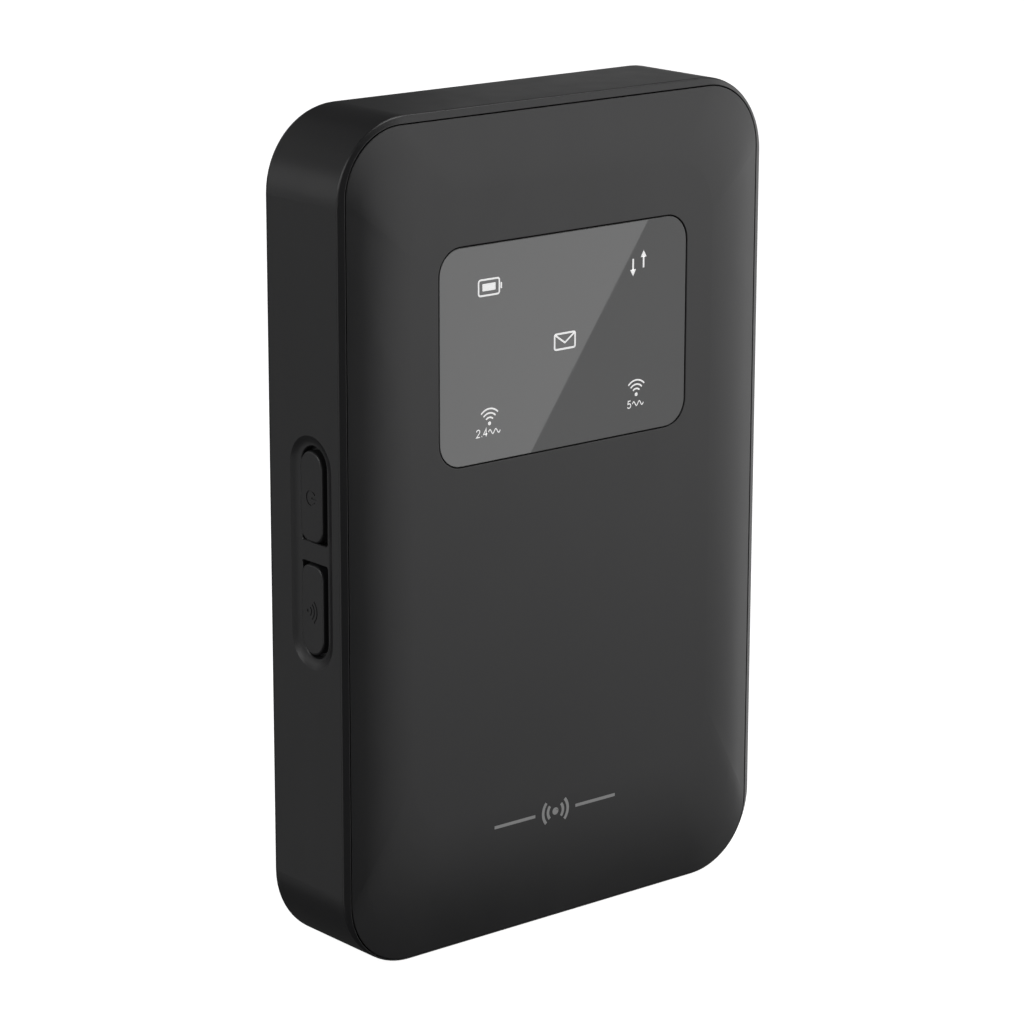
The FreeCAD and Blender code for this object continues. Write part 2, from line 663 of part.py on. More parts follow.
def side_plunger(z):
    return block(NUB_END_X, SWITCH_FRONT_X + PLUNGER_INSERT,
                 BUTTON_Y - PLUNGER_HALF_Y, BUTTON_Y + PLUNGER_HALF_Y,
                 z - PLUNGER_HALF_Z, z + PLUNGER_HALF_Z)


def reset_switch():
    half = RESET_BODY / 2
    body = block(RESET_X - half, RESET_X + half, BOARD_BACK_Y, RESET_TOP_Y, RESET_Z - half, RESET_Z + half)
    return body.cut(rod_y(RESET_X, RESET_Z, RESET_R + PLUNGER_CLEARANCE, BOARD_BACK_Y + 0.3, RESET_TOP_Y + 1))


def reset_button():
    return rod_y(RESET_X, RESET_Z, RESET_R, RESET_TOP_Y - 0.5, RESET_TIP_Y)


# ---- antennas -----------------------------------------------------------------------------
ANTENNA_FRONT_Y = 1.85
BRACKET_FRONT_Y = 2.0
BRACKET_HALF_W = 25.5
BRACKET_Z = {"top": (94.5, 101.6), "foot": (4.6, 12.4)}
CONTACT_SPOTS = [(-21.0, 8.5), (-18.0, 8.5), (-21.0, 98.0), (-18.0, 98.0), (17.0, 98.0), (20.0, 98.0)]


def antenna_bracket(end):
    """Plastic carrier, hollowed from behind into four pockets."""
    z0, z1 = BRACKET_Z[end]
    wall = 1.2
    pocket_w = (2 * BRACKET_HALF_W - 5 * wall) / 4
    bracket = block(-BRACKET_HALF_W, BRACKET_HALF_W, BRACKET_FRONT_Y, PLATE_FRONT_Y, z0, z1)
    pockets = []
    for index in range(4):
        x = -BRACKET_HALF_W + wall + index * (pocket_w + wall)
        pockets.append(block(x, x + pocket_w, BRACKET_FRONT_Y + 1.0, PLATE_FRONT_Y + 1, z0 + wall, z1 - wall))
    return bracket.cut(pockets)


def flex_antenna(x0, x1, end, slots):
    """Thin flexible radiator with open slots cut in from alternate edges."""
    z0, z1 = BRACKET_Z[end]
    margin = 0.4
    half_slot = 0.35
    bridge = 2.2
    sheet = block(x0, x1, ANTENNA_FRONT_Y, BRACKET_FRONT_Y, z0 + margin, z1 - margin)
    pitch = (x1 - x0) / (slots + 1)
    cuts = []
    for index in range(slots):
        x = x0 + pitch * (index + 1)
        low = z0 if index % 2 else z0 + bridge
        high = z1 - bridge if index % 2 else z1
        cuts.append(block(x - half_slot, x + half_slot, ANTENNA_FRONT_Y - 0.5, BRACKET_FRONT_Y + 0.5,
                          low, high))
    return sheet.cut(cuts)


def antenna_contacts():
    """Bent leaf springs from the board to each radiator's feed and ground pads."""
    thick = 0.15
    half_w = 0.5
    half_l = 1.4
    head_l = 2.0
    head_y = ANTENNA_FRONT_Y - 0.02
    springs = []
    for x, z in CONTACT_SPOTS:
        low = z - half_l
        foot = block(x - half_w, x + half_w, BOARD_BACK_Y, BOARD_BACK_Y + thick, low, z + half_l)
        riser = block(x - half_w, x + half_w, BOARD_BACK_Y, head_y, low, low + thick)
        head = block(x - half_w, x + half_w, head_y - thick, head_y, low, low + head_l)
        springs.append(joined([foot, riser, head]))
    return group(springs)


# ---- push buttons -------------------------------------------------------------------------
def push_button(side, symbol):
    z = BUTTON_MID_Z + side * BUTTON_PITCH_Z
    gaps = [BUTTON_SIDE_GAP, BUTTON_ROUND_END_GAP, BUTTON_FLAT_END_GAP]
    stem = button_prism(gaps, BUTTON_CORNER_R, BUTTON_TOP_X, FLANGE_X, side)
    top_edges = [edge for edge in stem.Edges
                 if all(abs(vertex.Point.x - BUTTON_TOP_X) < 1e-6 for vertex in edge.Vertexes)]
    stem = stem.makeFillet(BUTTON_EDGE_R, top_edges).cut(symbol)
    flange = button_prism([-FLANGE_LIP] * 3, FLANGE_CORNER_R, FLANGE_X, FLANGE_X + FLANGE_THICK, side)
    nub = block(FLANGE_X, NUB_END_X, BUTTON_Y - NUB_HALF_Y, BUTTON_Y + NUB_HALF_Y,
                z - NUB_HALF_Z, z + NUB_HALF_Z)
    return joined([stem, flange, nub])


def rod_x(y, z, radius):
    """Cylinder along X that reaches from outside the button's top to the symbols' depth."""
    return Part.makeCylinder(radius, 1 + SYMBOL_DEPTH, V(BUTTON_TOP_X - 1, y, z), V(1, 0, 0))


def ring_x(y, z, radius):
    return rod_x(y, z, radius + SYMBOL_STROKE / 2).cut(rod_x(y, z, radius - SYMBOL_STROKE / 2))


def power_symbol():
    """Open ring with a bar in its gap."""
    z = BUTTON_MID_Z + BUTTON_PITCH_Z - POWER_DROP
    x0, x1 = BUTTON_TOP_X - 1, BUTTON_TOP_X + SYMBOL_DEPTH
    half = SYMBOL_STROKE / 2
    gap = block(x0 - 1, x1 + 1, BUTTON_Y - POWER_RING_R - 1, BUTTON_Y,
                z - POWER_GAP_HALF, z + POWER_GAP_HALF)
    bar = block(x0, x1, BUTTON_Y - POWER_BAR_END, BUTTON_Y - half, z - half, z + half)
    return [ring_x(BUTTON_Y, z, POWER_RING_R).cut(gap), bar]


def wave_symbol():
    """Dot with three arcs above it."""
    y = BUTTON_Y + WAVE_ROOT_Y
    z = BUTTON_MID_Z - BUTTON_PITCH_Z
    reach = 4.0
    spread = reach * math.tan(math.radians(WAVE_HALF_ANGLE))
    corners = [V(BUTTON_TOP_X - 2, y, z), V(BUTTON_TOP_X - 2, y - reach, z + spread),
               V(BUTTON_TOP_X - 2, y - reach, z - spread)]
    wedge = Part.Face(Part.makePolygon(corners + corners[:1])).extrude(V(4, 0, 0))
    arcs = [ring_x(y, z, radius).common(wedge) for radius in WAVE_RADII]
    return arcs + [rod_x(y, z, WAVE_DOT_R)]


# ---- battery ------------------------------------------------------------------------------
def battery_cell():
    half_w = BAY_HALF_W - BATTERY_GAP - LABEL
    cell = block(-half_w, half_w, BATTERY_FRONT_Y + LABEL, BATTERY_BACK_Y - LABEL,
                 BATTERY_CAP_Z, BATTERY_HIGH_Z - LABEL)
    return cell.makeFillet(BATTERY_R, upright_edges(cell))


def battery_label():
    """Thin printed wrap round the cell and over its far end."""
    half_w = BAY_HALF_W - BATTERY_GAP
    wrap = block(-half_w, half_w, BATTERY_FRONT_Y, BATTERY_BACK_Y, BATTERY_CAP_Z + 0.3, BATTERY_HIGH_Z)
    wrap = wrap.makeFillet(BATTERY_R + LABEL, upright_edges(wrap))
    return wrap.cut(battery_cell())


def battery_cap():
    half_w = BAY_HALF_W - BATTERY_GAP
    cap = block(-half_w, half_w, BATTERY_FRONT_Y, BATTERY_BACK_Y, BATTERY_LOW_Z, BATTERY_CAP_Z)
    cap = cap.makeFillet(BATTERY_R + LABEL, upright_edges(cap))
    pockets = [terminal_box(x, 0.1, BATTERY_LOW_Z - 0.1, BATTERY_LOW_Z + TERMINAL_DEPTH)
               for x in TERMINAL_SPOTS]
    return cap.cut(pockets)


def terminal_box(x, grow, z0, z1):
    half_w = TERMINAL_HALF_W + grow
    half_y = TERMINAL_HALF_Y + grow
    return block(x - half_w, x + half_w, TERMINAL_Y - half_y, TERMINAL_Y + half_y, z0, z1)


def battery_terminals():
    return group([terminal_box(x, 0, BATTERY_LOW_Z + 0.05, BATTERY_LOW_Z + TERMINAL_DEPTH)
                  for x in TERMINAL_SPOTS])


os.makedirs("parts", exist_ok=True)

power_z = BUTTON_MID_Z + BUTTON_PITCH_Z
wifi_z = BUTTON_MID_Z - BUTTON_PITCH_Z

saved(front_cover(), "front_cover")
saved(housing(), "housing")
saved(rear_cover(), "rear_cover")
saved(group([screw(x, z) for x, z in SCREW_SPOTS]), "housing_screws")
saved(display_window(), "display_window")
saved(window_adhesive(), "window_adhesive")
saved(icon_film(), "icon_film")
saved(light_baffle(), "light_baffle")
saved(status_leds(), "status_leds")
saved(main_board(), "main_board")
saved(shield_can(*MODEM_SHIELD), "modem_shield")
saved(shield_can(*WIFI_SHIELD), "wifi_shield")
saved(chip(-16.0, 40.0, 12.0, 12.0, 1.0), "modem_chip")
saved(chip(-2.5, 40.0, 9.0, 11.0, 0.9), "memory_chip")
saved(chip(-16.0, 25.0, 7.0, 7.0, 0.9), "power_chip")
saved(chip(-4.0, 25.0, 6.0, 5.0, 0.8), "radio_chip")
saved(chip(17.5, 31.0, 9.0, 9.0, 0.9), "wifi_chip")
saved(thermal_pad(), "thermal_pad")
saved(small_parts(), "board_small_parts")
saved(usb_shell(), "usb_shell")
saved(usb_tongue(), "usb_tongue")
saved(sim_holder(), "sim_holder")
saved(battery_connector(), "battery_connector")
saved(battery_contacts(), "battery_contacts")
saved(side_switch(power_z), "power_switch")
saved(side_switch(wifi_z), "wifi_switch")
saved(side_plunger(power_z), "power_switch_plunger")
saved(side_plunger(wifi_z), "wifi_switch_plunger")
saved(reset_switch(), "reset_switch")
saved(reset_button(), "reset_button")
saved(antenna_bracket("top"), "top_antenna_bracket")
saved(antenna_bracket("foot"), "foot_antenna_bracket")
saved(flex_antenna(-25.0, 25.0, "foot", 9), "main_antenna")
saved(flex_antenna(-25.0, 8.0, "top", 6), "diversity_antenna")
saved(flex_antenna(12.0, 25.0, "top", 2), "wifi_antenna")
saved(antenna_contacts(), "antenna_contacts")
saved(push_button(1, power_symbol()), "power_button")
saved(push_button(-1, wave_symbol()), "wifi_button")
saved(battery_cell(), "battery_cell")
saved(battery_label(), "battery_label")
saved(battery_cap(), "battery_cap")
saved(battery_terminals(), "battery_terminals")
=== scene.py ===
"""Looks of the mobile hotspot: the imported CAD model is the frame, and this script gives every
node its material, adds the printed and small detail, and sets up floor, lights and camera."""
import math

import bmesh
import bpy
from mathutils import Matrix, Vector
from mathutils.bvhtree import BVHTree


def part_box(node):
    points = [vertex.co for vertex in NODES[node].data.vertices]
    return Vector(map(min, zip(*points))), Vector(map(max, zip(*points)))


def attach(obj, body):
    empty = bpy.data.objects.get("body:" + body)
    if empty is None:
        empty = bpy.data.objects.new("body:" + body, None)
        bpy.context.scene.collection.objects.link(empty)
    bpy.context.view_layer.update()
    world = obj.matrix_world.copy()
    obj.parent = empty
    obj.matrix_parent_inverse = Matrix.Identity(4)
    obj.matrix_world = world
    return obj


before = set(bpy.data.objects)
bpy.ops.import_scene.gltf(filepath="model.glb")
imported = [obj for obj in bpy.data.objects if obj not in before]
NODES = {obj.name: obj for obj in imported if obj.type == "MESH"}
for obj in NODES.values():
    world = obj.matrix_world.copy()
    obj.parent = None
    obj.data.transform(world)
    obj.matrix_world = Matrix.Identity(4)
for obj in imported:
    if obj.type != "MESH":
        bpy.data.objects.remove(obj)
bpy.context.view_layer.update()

MM = 0.001


# ---- material helpers ---------------------------------------------------------------------
EDGE_FLAT = 0.995       # likeness of the softened and the true normal where the ground is flat
EDGE_SHARP = 0.93       # and where an edge counts as fully sharp
NOISE_LOW = 0.3         # nearly all values of a noise lie between these two
NOISE_HIGH = 0.7


class Graph:
    """A material's node tree, built by naming node kinds and wiring sockets."""

    def __init__(self, name):
        self.material = bpy.data.materials.new(name)
        self.material.use_nodes = True
        self.tree = self.material.node_tree
        self.tree.nodes.clear()
        self.where = self.add("TexCoord").outputs["Object"]

    def put(self, socket, value):
        """Wires the value to the socket if it is a socket itself, and writes it there if not."""
        if isinstance(value, bpy.types.NodeSocket):
            self.tree.links.new(value, socket)
        else:
            socket.default_value = value

    def add(self, kind, sockets=None, **settings):
        node = self.tree.nodes.new("ShaderNode" + kind)
        for key, value in settings.items():
            setattr(node, key, value)
        for key, value in (sockets or {}).items():
            self.put(node.inputs[key], value)
        return node

    def stretched_place(self, size_mm, stretch=(1, 1, 1)):
        """The surface's own coordinates, in units of size_mm."""
        scale = [1 / (size_mm * MM * s) for s in stretch]
        return self.add("Mapping", {"Vector": self.where, "Scale": scale}).outputs[0]

    def noise(self, size_mm, detail, stretch=(1, 1, 1), roughness=0.5):
        """Noise whose blobs are about size_mm across; stretch makes them longer along an axis."""
        place = self.stretched_place(size_mm, stretch)
        node = self.add("TexNoise", {"Vector": place, "Scale": 1.0, "Detail": detail,
                                     "Roughness": roughness})
        return node.outputs["Fac"]

    def ramp(self, value, low, high, to_low=0.0, to_high=1.0):
        node = self.add("MapRange", {"Value": value, "From Min": low, "From Max": high,
                                     "To Min": to_low, "To Max": to_high})
        return node.outputs["Result"]

    def spread(self, noise, to_low=0.0, to_high=1.0):
        """A noise stretched so that it fills the range from to_low to to_high."""
        return self.ramp(noise, NOISE_LOW, NOISE_HIGH, to_low, to_high)

    def math(self, operation, a, b):
        return self.add("Math", {0: a, 1: b}, operation=operation).outputs[0]

    def mix(self, share, a, b):
        node = self.add("Mix", data_type="RGBA")
        share_socket, a_socket, b_socket, colour_output = 0, 6, 7, 2
        self.put(node.inputs[share_socket], share)
        self.put(node.inputs[a_socket], a)
        self.put(node.inputs[b_socket], b)
        return node.outputs[colour_output]

    def mottle(self, noise, colour, darkest, palest):
        """The colour, wandering between two factors of itself along a noise."""
        return self.mix(self.spread(noise), shade(colour, darkest), shade(colour, palest))

    def edge_tint(self, base, share, amount, tint_colour):
        """The base with an amount of a second colour over it where share is 1. A paler colour along
        edges is a painted edge highlight.
        """
        return self.mix(self.math("MULTIPLY", share, amount), base, tint_colour)

    def edges(self, radius_mm):
        """1 on edges sharper than the radius, 0 on flat ground."""
        soft = self.add("Bevel", {"Radius": radius_mm * MM}, samples=4).outputs[0]
        flat = self.add("NewGeometry").outputs["Normal"]
        alike = self.add("VectorMath", {0: soft, 1: flat}, operation="DOT_PRODUCT").outputs["Value"]
        return self.ramp(alike, EDGE_FLAT, EDGE_SHARP)

    def bump(self, height, distance_mm, strength):
        sockets = {"Height": height, "Distance": distance_mm * MM, "Strength": strength}
        return self.add("Bump", sockets).outputs[0]

    def finish(self, sockets):
        shader = self.add("BsdfPrincipled", sockets)
        end = self.add("OutputMaterial")
        self.tree.links.new(shader.outputs[0], end.inputs["Surface"])
        return self.material


def rgb(*values):
    """A colour from one grey or three linear values, with full alpha."""
    if len(values) == 1:
        values = values * 3
    return (*values, 1.0)


def shade(colour, factor):
    """The colour times a factor, with full alpha."""
    return (*[min(1.0, c * factor) for c in colour[:3]], 1.0)


def moulded_plastic(name, colour, roughness, grain_mm=0.16):
    """Matte injection-moulded plastic: sparked grain, slow unevenness, edges a little paler, partly
    wear and partly a painted edge highlight.
    """
    # how much paler the edges are painted: partly wear, partly a painted edge highlight
    wear_and_sheen = 0.12
    g = Graph(name)
    grain = g.noise(grain_mm, detail=3.0, roughness=0.6)
    cloud = g.noise(22.0, detail=4.0)
    smear = g.noise(3.5, detail=3.0, stretch=(1, 1, 3))
    patches = g.ramp(g.noise(1.1, detail=4.0), 0.35, 0.65, to_low=0.25)
    scuff_and_sheen = g.math("MULTIPLY", g.edges(0.25), patches)
    base = g.mottle(cloud, colour, darkest=0.93, palest=1.07)
    base = g.mix(g.ramp(grain, 0.35, 0.65, to_high=0.25), base, shade(colour, 0.75))
    # edges paler in patches: a painted edge highlight mixed with wear
    base = g.edge_tint(base, scuff_and_sheen, wear_and_sheen, shade(colour, 2.0))
    rough = g.math("ADD", g.spread(cloud, -0.02, 0.02),
                   g.spread(smear, roughness - 0.015, roughness + 0.015))
    rough = g.math("SUBTRACT", rough, g.math("MULTIPLY", scuff_and_sheen, 0.15 * wear_and_sheen))
    normal = g.bump(grain, distance_mm=0.004, strength=0.6)
    return g.finish({"Base Color": base, "Roughness": rough, "Normal": normal, "IOR": 1.5})


def window_pane(name, colour):
    """Dark acrylic pane, glossy, with a little dust, a faint ripple and a painted highlight along its
    edges.
    """
    dust_share = 0.35
    g = Graph(name)
    cloud = g.noise(14.0, detail=3.0)
    ripple = g.noise(9.0, detail=1.0)
    dust = g.ramp(g.noise(0.35, detail=2.0), 0.72, 0.8, to_high=dust_share)
    base = g.mottle(cloud, colour, darkest=0.97, palest=1.03)
    base = g.mix(dust, base, shade(colour, 1.15))
    # painted edge highlight: the pane's edges are painted paler
    base = g.edge_tint(base, g.edges(0.15), 0.5, shade(colour, 1.6))
    rough = g.math("ADD", g.ramp(dust, 0.0, dust_share, to_high=0.08), g.spread(cloud, to_high=0.015))
    normal = g.bump(ripple, distance_mm=0.0005, strength=0.1)
    return g.finish({"Base Color": base, "Roughness": rough, "Normal": normal, "IOR": 1.49})


def printed_ink(name, colour, roughness=0.4, glow=0.0):
    """Screen-printed ink with a fine grain. Glow is the light that comes through it from behind."""
    g = Graph(name)
    grain = g.noise(0.08, detail=3.0)
    cloud = g.noise(1.6, detail=3.0)
    base = g.mottle(cloud, colour, darkest=0.95, palest=1.0)
    base = g.edge_tint(base, g.edges(0.03), 0.15, shade(colour, 0.8))
    rough = g.spread(grain, roughness - 0.05, roughness + 0.05)
    normal = g.bump(grain, distance_mm=0.001, strength=0.4)
    return g.finish({"Base Color": base, "Roughness": rough, "Normal": normal,
                     "Emission Color": rgb(1.0), "Emission Strength": glow})


def sheet_metal(name, colour, roughness, brushed=(1, 1, 12), grain_mm=0.05):
    """Rolled or plated metal with brush marks along the axis that is stretched most."""
    g = Graph(name)
    brush = g.noise(grain_mm, detail=4.0, stretch=brushed)
    cloud = g.noise(5.0, detail=4.0)
    base = g.mottle(cloud, colour, darkest=0.85, palest=1.0)
    # painted edge highlight: edges painted paler
    base = g.edge_tint(base, g.edges(0.1), 0.6, shade(colour, 1.2))
    rough = g.math("ADD", g.spread(brush, roughness - 0.06, roughness + 0.06),
                   g.spread(cloud, to_high=0.06))
    normal = g.bump(brush, distance_mm=0.002, strength=0.5)
    return g.finish({"Base Color": base, "Metallic": 1.0, "Roughness": rough, "Normal": normal})


def resin(name, colour, roughness):
    """Cast or moulded resin: even, finely grained, edges painted paler as a highlight."""
    g = Graph(name)
    grain = g.noise(0.1, detail=3.0)
    cloud = g.noise(2.5, detail=3.0)
    base = g.mottle(cloud, colour, darkest=0.88, palest=1.1)
    # painted edge highlight: edges painted paler
    base = g.edge_tint(base, g.edges(0.08), 0.4, shade(colour, 1.7))
    rough = g.spread(grain, roughness - 0.05, roughness + 0.05)
    normal = g.bump(grain, distance_mm=0.003, strength=0.6)
    return g.finish({"Base Color": base, "Roughness": rough, "Normal": normal})


def circuit_board(name):
    """Solder mask over copper: darker and paler runs on a fine grid, with a slight relief."""
    mask = rgb(0.012, 0.055, 0.028)
    track = rgb(0.03, 0.12, 0.06)
    track_pitch_mm = 1.4
    g = Graph(name)
    runs = g.add("TexVoronoi", {"Vector": g.stretched_place(track_pitch_mm), "Scale": 1.0,
                                "Randomness": 0.35}, distance="MANHATTAN", feature="F1")
    line = g.ramp(runs.outputs["Distance"], 0.45, 0.5)
    cloud = g.noise(8.0, detail=3.0)
    base = g.mix(line, mask, track)
    base = g.mix(g.spread(cloud, to_high=0.3), base, shade(mask, 0.6))
    rough = g.spread(g.noise(0.2, detail=3.0), 0.3, 0.42)
    normal = g.bump(line, distance_mm=0.02, strength=0.6)
    return g.finish({"Base Color": base, "Roughness": rough, "Normal": normal})


def rubbery(name, colour):
    """Soft dull sheet: tape or silicone pad."""
    g = Graph(name)
    grain = g.noise(0.12, detail=4.0)
    cloud = g.noise(3.0, detail=3.0)
    base = g.mottle(cloud, colour, darkest=0.85, palest=1.1)
    # painted edge highlight: edges painted paler
    base = g.edge_tint(base, g.edges(0.3), 0.3, shade(colour, 1.3))
    rough = g.spread(grain, 0.75, 0.9)
    normal = g.bump(grain, distance_mm=0.01, strength=0.7)
    return g.finish({"Base Color": base, "Roughness": rough, "Normal": normal})


# ---- materials by the record's slots --------------------------------------------------------
CASE_COLOUR = rgb(0.021, 0.021, 0.022)
CASE_ROUGHNESS = 0.33
MATERIALS = {
    "case_plastic": moulded_plastic("case_plastic", CASE_COLOUR, CASE_ROUGHNESS),
    "button_plastic": moulded_plastic("button_plastic", CASE_COLOUR, CASE_ROUGHNESS, grain_mm=0.14),
    "smoked_window": window_pane("smoked_window", rgb(0.085, 0.086, 0.087)),
    "adhesive_tape": rubbery("adhesive_tape", rgb(0.03)),
    "black_film": resin("black_film", rgb(0.01), 0.35),
    "white_plastic": moulded_plastic("white_plastic", rgb(0.75, 0.75, 0.73), 0.5),
    "led_resin": resin("led_resin", rgb(0.8, 0.78, 0.6), 0.25),
    "circuit_board": circuit_board("circuit_board"),
    "shield_steel": sheet_metal("shield_steel", rgb(0.62, 0.61, 0.58), 0.32),
    "chip_resin": resin("chip_resin", rgb(0.02, 0.02, 0.022), 0.55),
    "thermal_silicone": rubbery("thermal_silicone", rgb(0.35, 0.42, 0.5)),
    "small_part_ceramic": resin("small_part_ceramic", rgb(0.32, 0.24, 0.16), 0.5),
    "plated_steel": sheet_metal("plated_steel", rgb(0.7, 0.69, 0.66), 0.24),
    "black_nylon": moulded_plastic("black_nylon", rgb(0.02), 0.55),
    "gold_contact": sheet_metal("gold_contact", rgb(0.83, 0.6, 0.25), 0.22, brushed=(1, 1, 6)),
    "switch_resin": resin("switch_resin", rgb(0.05), 0.4),
    "flex_copper": sheet_metal("flex_copper", rgb(0.72, 0.4, 0.22), 0.35, brushed=(4, 1, 1)),
    "battery_foil": sheet_metal("battery_foil", rgb(0.6), 0.35, brushed=(1, 1, 2), grain_mm=0.2),
    "battery_wrap": printed_ink("battery_wrap", rgb(0.028, 0.03, 0.034), 0.42),
    "screw_steel": sheet_metal("screw_steel", rgb(0.45, 0.44, 0.42), 0.3, brushed=(1, 1, 1)),
}

for node in NODES.values():
    slot = node.data.materials[0].name
    node.data.materials[0] = MATERIALS[slot]


# ---- prints and small detail, in mm -----------------------------------------------------------
SYMBOL_INK = printed_ink("symbol_ink", rgb(0.85), glow=0.45)
MARK_INK = printed_ink("mark_ink", rgb(0.42))
LABEL_INK = printed_ink("label_ink", rgb(0.5))
PRINT_LIFT = 0.002      # how far a print stands above its surface
PRINT_SINK = 0.03       # how far it reaches below
MITRE_LIMIT = 0.35      # least cosine at a corner, so that sharp corners don't grow long tips
ARC_STEPS = 14
CORNER_STEPS = 4
DOT_STEPS = 16


def turned(centre, radius, degrees):
    """The point at radius from the centre, degrees round from the right."""
    angle = math.radians(degrees)
    return centre[0] + radius * math.cos(angle), centre[1] + radius * math.sin(angle)


def arc_points(centre, radius, start, end, steps=ARC_STEPS):
    return [turned(centre, radius, start + (end - start) * i / steps) for i in range(steps + 1)]


def dot_points(centre, radius):
    """A full circle whose last point isn't its first again."""
    last = DOT_STEPS - 1
    return arc_points(centre, radius, 0, 360 * last / DOT_STEPS, last)


def rounded_box(x0, x1, z0, z1, radius):
    corners = [(x1 - radius, z1 - radius, 0), (x0 + radius, z1 - radius, 90),
               (x0 + radius, z0 + radius, 180), (x1 - radius, z0 + radius, 270)]
    return [p for x, z, start in corners
            for p in arc_points((x, z), radius, start, start + 90, CORNER_STEPS)]


class Print:
    """Flat shapes, each thin and closed, that become one piece lying on a surface.

    place(u, v, lift) gives the point of space that is lift outside the surface's point (u, v).
    """

    def __init__(self, name, place):
        self.name = name
        self.place = place
        self.mesh = bmesh.new()

    def vertex(self, point, lift):
        return self.mesh.verts.new(self.place(point[0], point[1], lift) * MM)

    def prism(self, points):
        """A filled outline."""
        top = [self.vertex(p, PRINT_LIFT) for p in points]
        foot = [self.vertex(p, -PRINT_SINK) for p in points]
        self.mesh.faces.new(top)
        self.mesh.faces.new(foot[::-1])
        for i in range(len(points)):
            j = (i + 1) % len(points)
            self.mesh.faces.new((top[j], top[i], foot[i], foot[j]))

    def stroke(self, points, width, closed=False):
        """A line of even width with mitred corners and square ends."""
        path = [Vector(p) for p in points]
        count = len(path)
        rows = []
        for i, point in enumerate(path):
            before = path[(i - 1) % count] if closed or i else None
            after = path[(i + 1) % count] if closed or i < count - 1 else None
            runs = [(b - a).normalized() for a, b in ((before, point), (point, after)) if a and b]
            along = sum(runs, Vector((0, 0))).normalized()
            across = Vector((-along.y, along.x))
            reach = width / 2 / max(MITRE_LIMIT, abs(runs[0].dot(along)))
            rows.append([self.vertex(point + across * side * reach, lift)
                         for side, lift in ((1, PRINT_LIFT), (-1, PRINT_LIFT),
                                            (-1, -PRINT_SINK), (1, -PRINT_SINK))])
        for i in range(count if closed else count - 1):
            here, there = rows[i], rows[(i + 1) % count]
            for k in range(4):
                m = (k + 1) % 4
                self.mesh.faces.new((here[k], here[m], there[m], there[k]))
        if not closed:
            self.mesh.faces.new(rows[0][::-1])
            self.mesh.faces.new(rows[-1])

    def ready(self, material, body, slot):
        """Makes the shapes one piece that rides the body. The slot is not used."""
        bmesh.ops.recalc_face_normals(self.mesh, faces=self.mesh.faces)
        data = bpy.data.meshes.new(self.name)
        self.mesh.to_mesh(data)
        self.mesh.free()
        data.materials.append(material)
        piece = bpy.data.objects.new(self.name, data)
        bpy.context.scene.collection.objects.link(piece)
        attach(piece, body)


def low_corner(node):
    return [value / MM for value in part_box(node)[0]]


def high_corner(node):
    return [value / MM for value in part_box(node)[1]]


WINDOW_Y = low_corner("display_window")[1]


def on_window(x, z, lift):
    return Vector((x, WINDOW_Y - lift, z))


WAVE_DOT_R = 0.24
WAVE_RADII = (0.75, 1.3, 1.85)
WAVE_STROKE = 0.2
WAVE_HALF_ANGLE = 46


def draw_wave(symbol, root):
    """A dot with three arcs over it."""
    symbol.prism(dot_points(root, WAVE_DOT_R))
    for radius in WAVE_RADII:
        symbol.stroke(arc_points(root, radius, 90 - WAVE_HALF_ANGLE, 90 + WAVE_HALF_ANGLE), WAVE_STROKE)


RIPPLE_POINTS = 15      # of the small wave that stands after a band's digits
RIPPLE_STEP = 0.14
RIPPLE_HEIGHT = 0.3
RIPPLE_TURN = 0.9       # radians of the wave from one point to the next
# strokes of the signs, 1 high and at most 0.62 wide but for the wave, and where the next one starts
DIGITS = {
    "2": [[(0.02, 0.76), (0.08, 0.92), (0.2, 0.99), (0.38, 0.99), (0.52, 0.91), (0.57, 0.75),
           (0.5, 0.58), (0.03, 0.03), (0.6, 0.03)]],
    "4": [[(0.44, 0.0), (0.44, 1.0), (0.0, 0.3), (0.62, 0.3)]],
    "5": [[(0.55, 0.97), (0.12, 0.97), (0.07, 0.55), (0.3, 0.62), (0.5, 0.53), (0.58, 0.32),
           (0.5, 0.1), (0.3, 0.01), (0.1, 0.05), (0.0, 0.18)]],
    ".": [[(0.1, 0.0), (0.1, 0.14)]],
    "~": [[(RIPPLE_STEP * i, 0.5 + RIPPLE_HEIGHT * math.sin(RIPPLE_TURN * i))
           for i in range(RIPPLE_POINTS)]],
}
DIGIT_ADVANCE = {"2": 0.8, "4": 0.82, "5": 0.85, ".": 0.38, "~": 2.1}
DIGIT_HEIGHT = 0.95
DIGIT_STROKE = 0.13


def draw_digits(symbol, text, x, z):
    for sign in text:
        for line in DIGITS[sign]:
            symbol.stroke([(x + px * DIGIT_HEIGHT, z + pz * DIGIT_HEIGHT) for px, pz in line],
                          DIGIT_STROKE)
        x += DIGIT_ADVANCE[sign] * DIGIT_HEIGHT


ARROW_HEAD = 0.85
ARROW_HALF_WIDTH = 0.48
ARROW_STROKE = 0.26
SHAFT_STOP = 0.9        # how far before the tip the shaft ends, in lengths of the head


def arrow(symbol, x, tail, tip):
    """A vertical arrow from tail to tip."""
    head = math.copysign(ARROW_HEAD, tip - tail)
    symbol.stroke([(x, tail), (x, tip - head * SHAFT_STOP)], ARROW_STROKE)
    symbol.prism([(x - ARROW_HALF_WIDTH, tip - head), (x + ARROW_HALF_WIDTH, tip - head), (x, tip)])


FRAME_STROKE = 0.22
ENVELOPE_STROKE = 0.24
BAND_DIGITS_Z = 65.65


